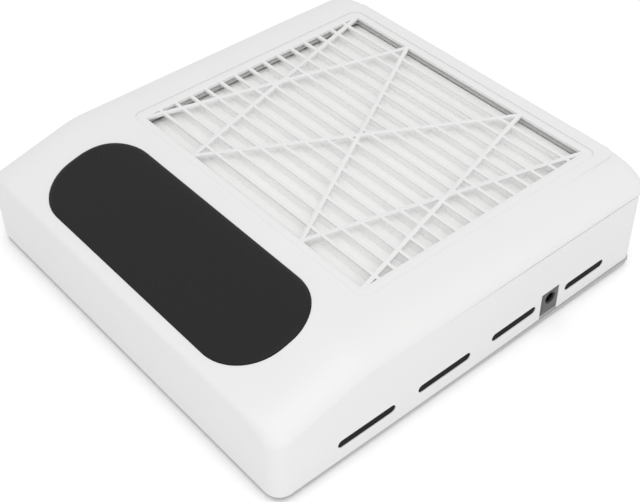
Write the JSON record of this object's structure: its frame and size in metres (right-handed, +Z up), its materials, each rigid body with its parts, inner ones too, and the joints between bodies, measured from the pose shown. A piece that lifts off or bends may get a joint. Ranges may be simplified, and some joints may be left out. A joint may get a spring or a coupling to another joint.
{
  "type": "nail dust collector",
  "caption": "White desktop nail dust collector with a black hand rest, a lift-out filter cartridge under a slatted grille and side exhaust slots.",
  "frame": {"origin": "centre of the footprint, at the level of the table under the rubber feet", "axes": "+Z up from the table, +Y away from the user towards the back wall, +X to the user's right towards the power socket"},
  "size_m": [0.265, 0.268, 0.0674],
  "materials": {
    "white_abs": "satin moulded ABS, white",
    "light_grey_abs": "satin moulded ABS, light grey",
    "soft_black_pad": "soft black pad with a fine leather-like grain",
    "filter_paper": "white pleated filter paper",
    "pale_foam": "open-cell pale grey foam strip",
    "black_nylon": "black moulded nylon",
    "exhaust_mesh": "fine black nylon mesh",
    "capacitor_sleeve": "shrink sleeve, near black",
    "black_rubber": "black rubber, matt",
    "socket_grey": "dark grey moulded plastic",
    "zinc_steel": "zinc-plated steel",
    "core_steel": "dark laminated steel",
    "magnet_ferrite": "dark grey sintered ferrite, bonded into the cup",
    "enamelled_copper": "enamelled copper wire",
    "board_green": "green solder mask on glass-fibre board",
    "plug_cream": "cream moulded plug housing",
    "nickel_pin": "nickel-plated pin",
    "red_pvc": "red PVC-sleeved pair",
    "black_pvc": "black PVC-sleeved pair"
  },
  "bodies": {
    "case": {"base_plate": "light_grey_abs", "board_screw_1": "zinc_steel", "board_screw_2": "zinc_steel", "board_screw_3": "zinc_steel", "case_screw_1": "zinc_steel", "case_screw_2": "zinc_steel", "case_screw_3": "zinc_steel", "case_screw_4": "zinc_steel", "case_screw_5": "zinc_steel", "case_screw_6": "zinc_steel", "control_board": "board_green", "driver_chip": "black_nylon", "exhaust_screen_left": "exhaust_mesh", "exhaust_screen_right": "exhaust_mesh", "fan_deck": "black_nylon", "fan_deck_screw_1": "zinc_steel", "fan_deck_screw_2": "zinc_steel", "fan_deck_screw_3": "zinc_steel", "fan_deck_screw_4": "zinc_steel", "fan_guard": "black_nylon", "filter_well": "white_abs", "guard_screw_1": "zinc_steel", "guard_screw_2": "zinc_steel", "guard_screw_3": "zinc_steel", "hand_rest_pad": "soft_black_pad", "lower_bearing": "zinc_steel", "motor_lead": "red_pvc", "motor_lead_plug": "plug_cream", "motor_plate": "zinc_steel", "motor_screw_1": "zinc_steel", "motor_screw_2": "zinc_steel", "motor_screw_3": "zinc_steel", "power_socket": "socket_grey", "power_switch": "black_nylon", "rubber_foot_1": "black_rubber", "rubber_foot_2": "black_rubber", "rubber_foot_3": "black_rubber", "rubber_foot_4": "black_rubber", "smoothing_capacitor": "capacitor_sleeve", "socket_pin": "nickel_pin", "stator_core": "core_steel", "stator_windings": "enamelled_copper", "switch_lead": "black_pvc", "switch_lead_plug": "plug_cream", "top_housing": "white_abs", "upper_bearing": "zinc_steel"},
    "filter_cartridge": {"filter_frame": "white_abs", "filter_gasket": "pale_foam", "filter_pleats": "filter_paper", "filter_tray": "white_abs"},
    "fan_rotor": {"impeller": "black_nylon", "magnet_ring": "magnet_ferrite", "rotor_cup": "zinc_steel", "motor_shaft": "zinc_steel", "shaft_clip": "core_steel", "impeller_nut": "zinc_steel"},
    "pressed_button": {"power_button": "white_abs", "switch_plunger": "black_nylon"}
  },
  "joints": [
    {"name": "cartridge_lift", "type": "slide", "parent": "case", "child": "filter_cartridge", "axis": [0, 0, 1], "range_m": [0, 0.06]},
    {"name": "fan_spin", "type": "hinge", "parent": "case", "child": "fan_rotor", "pos_m": [0, 0.0364, 0.02], "axis": [0, 0, 1], "continuous": true},
    {"name": "button_press", "type": "slide", "parent": "case", "child": "pressed_button", "axis": [1, 0, 0], "range_m": [0, 0.002], "stiffness_N_per_m": 1000}
  ]
}
